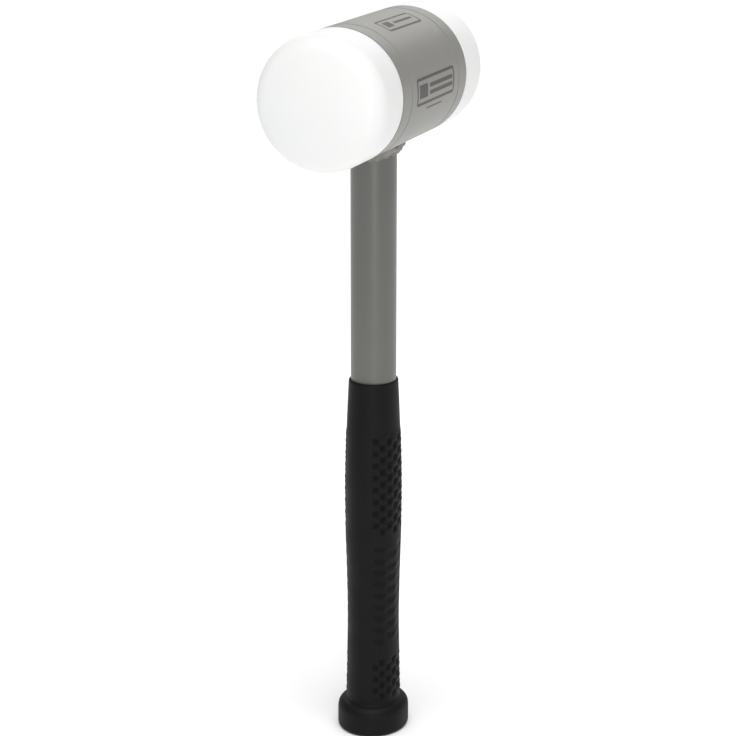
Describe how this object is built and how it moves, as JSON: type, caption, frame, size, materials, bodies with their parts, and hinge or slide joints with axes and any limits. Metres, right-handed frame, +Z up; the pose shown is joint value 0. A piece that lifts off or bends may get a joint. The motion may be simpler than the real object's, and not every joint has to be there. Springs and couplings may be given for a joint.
{
  "type": "soft-face dead-blow mallet",
  "caption": "Recoil-free soft-face mallet: painted steel tube head with screw-in domed white nylon faces and loose steel shot, steel tube handle and flared black rubber grip.",
  "frame": {"origin": "centre of the grip's flat butt", "axes": "+Z up the handle towards the head, X along the head's axis from one face to the other, Y across the head"},
  "size_m": [0.1408, 0.06, 0.3445],
  "materials": {
    "head_paint": "satin grey powder coat",
    "handle_paint": "satin dark grey coat on steel tube",
    "nylon": "white cast nylon, semi-matt",
    "inner_steel": "plain bright steel",
    "plug_plastic": "black moulded plastic",
    "grip_rubber": "matt black moulded rubber",
    "seal_rubber": "black rubber ring"
  },
  "bodies": {
    "mallet": {"head_housing": "head_paint", "left_bulkhead": "inner_steel", "right_bulkhead": "inner_steel", "handle_weld": "handle_paint", "handle_tube": "handle_paint", "tube_top_plug": "plug_plastic", "tube_end_plug": "plug_plastic", "rubber_grip": "grip_rubber"},
    "left_seal": {"left_seal_ring": "seal_rubber"},
    "left_face_unit": {"left_face": "nylon", "left_stud": "inner_steel"},
    "right_seal": {"right_seal_ring": "seal_rubber"},
    "right_face_unit": {"right_face": "nylon", "right_stud": "inner_steel"},
    "charge": {"shot_charge": "inner_steel"}
  },
  "joints": [
    {"name": "left_face_draw", "type": "slide", "parent": "mallet", "child": "left_seal", "axis": [-1, 0, 0], "range_m": [0, 0.0076]},
    {"name": "left_face_unscrew", "type": "hinge", "parent": "left_seal", "child": "left_face_unit", "pos_m": [0, 0, 0.3145], "axis": [-1, 0, 0], "range_deg": [0, 1080]},
    {"name": "right_face_draw", "type": "slide", "parent": "mallet", "child": "right_seal", "axis": [1, 0, 0], "range_m": [0, 0.0076]},
    {"name": "right_face_unscrew", "type": "hinge", "parent": "right_seal", "child": "right_face_unit", "pos_m": [0, 0, 0.3145], "axis": [1, 0, 0], "range_deg": [0, 1080]},
    {"name": "shot_slide", "type": "slide", "parent": "mallet", "child": "charge", "axis": [1, 0, 0], "range_m": [-0.0079, 0.0079]}
  ],
  "couplings": [
    {"joint": "left_face_draw", "follows": "left_face_unscrew", "m_per_rad": 0.00039789},
    {"joint": "right_face_draw", "follows": "right_face_unscrew", "m_per_rad": 0.00039789}
  ]
}
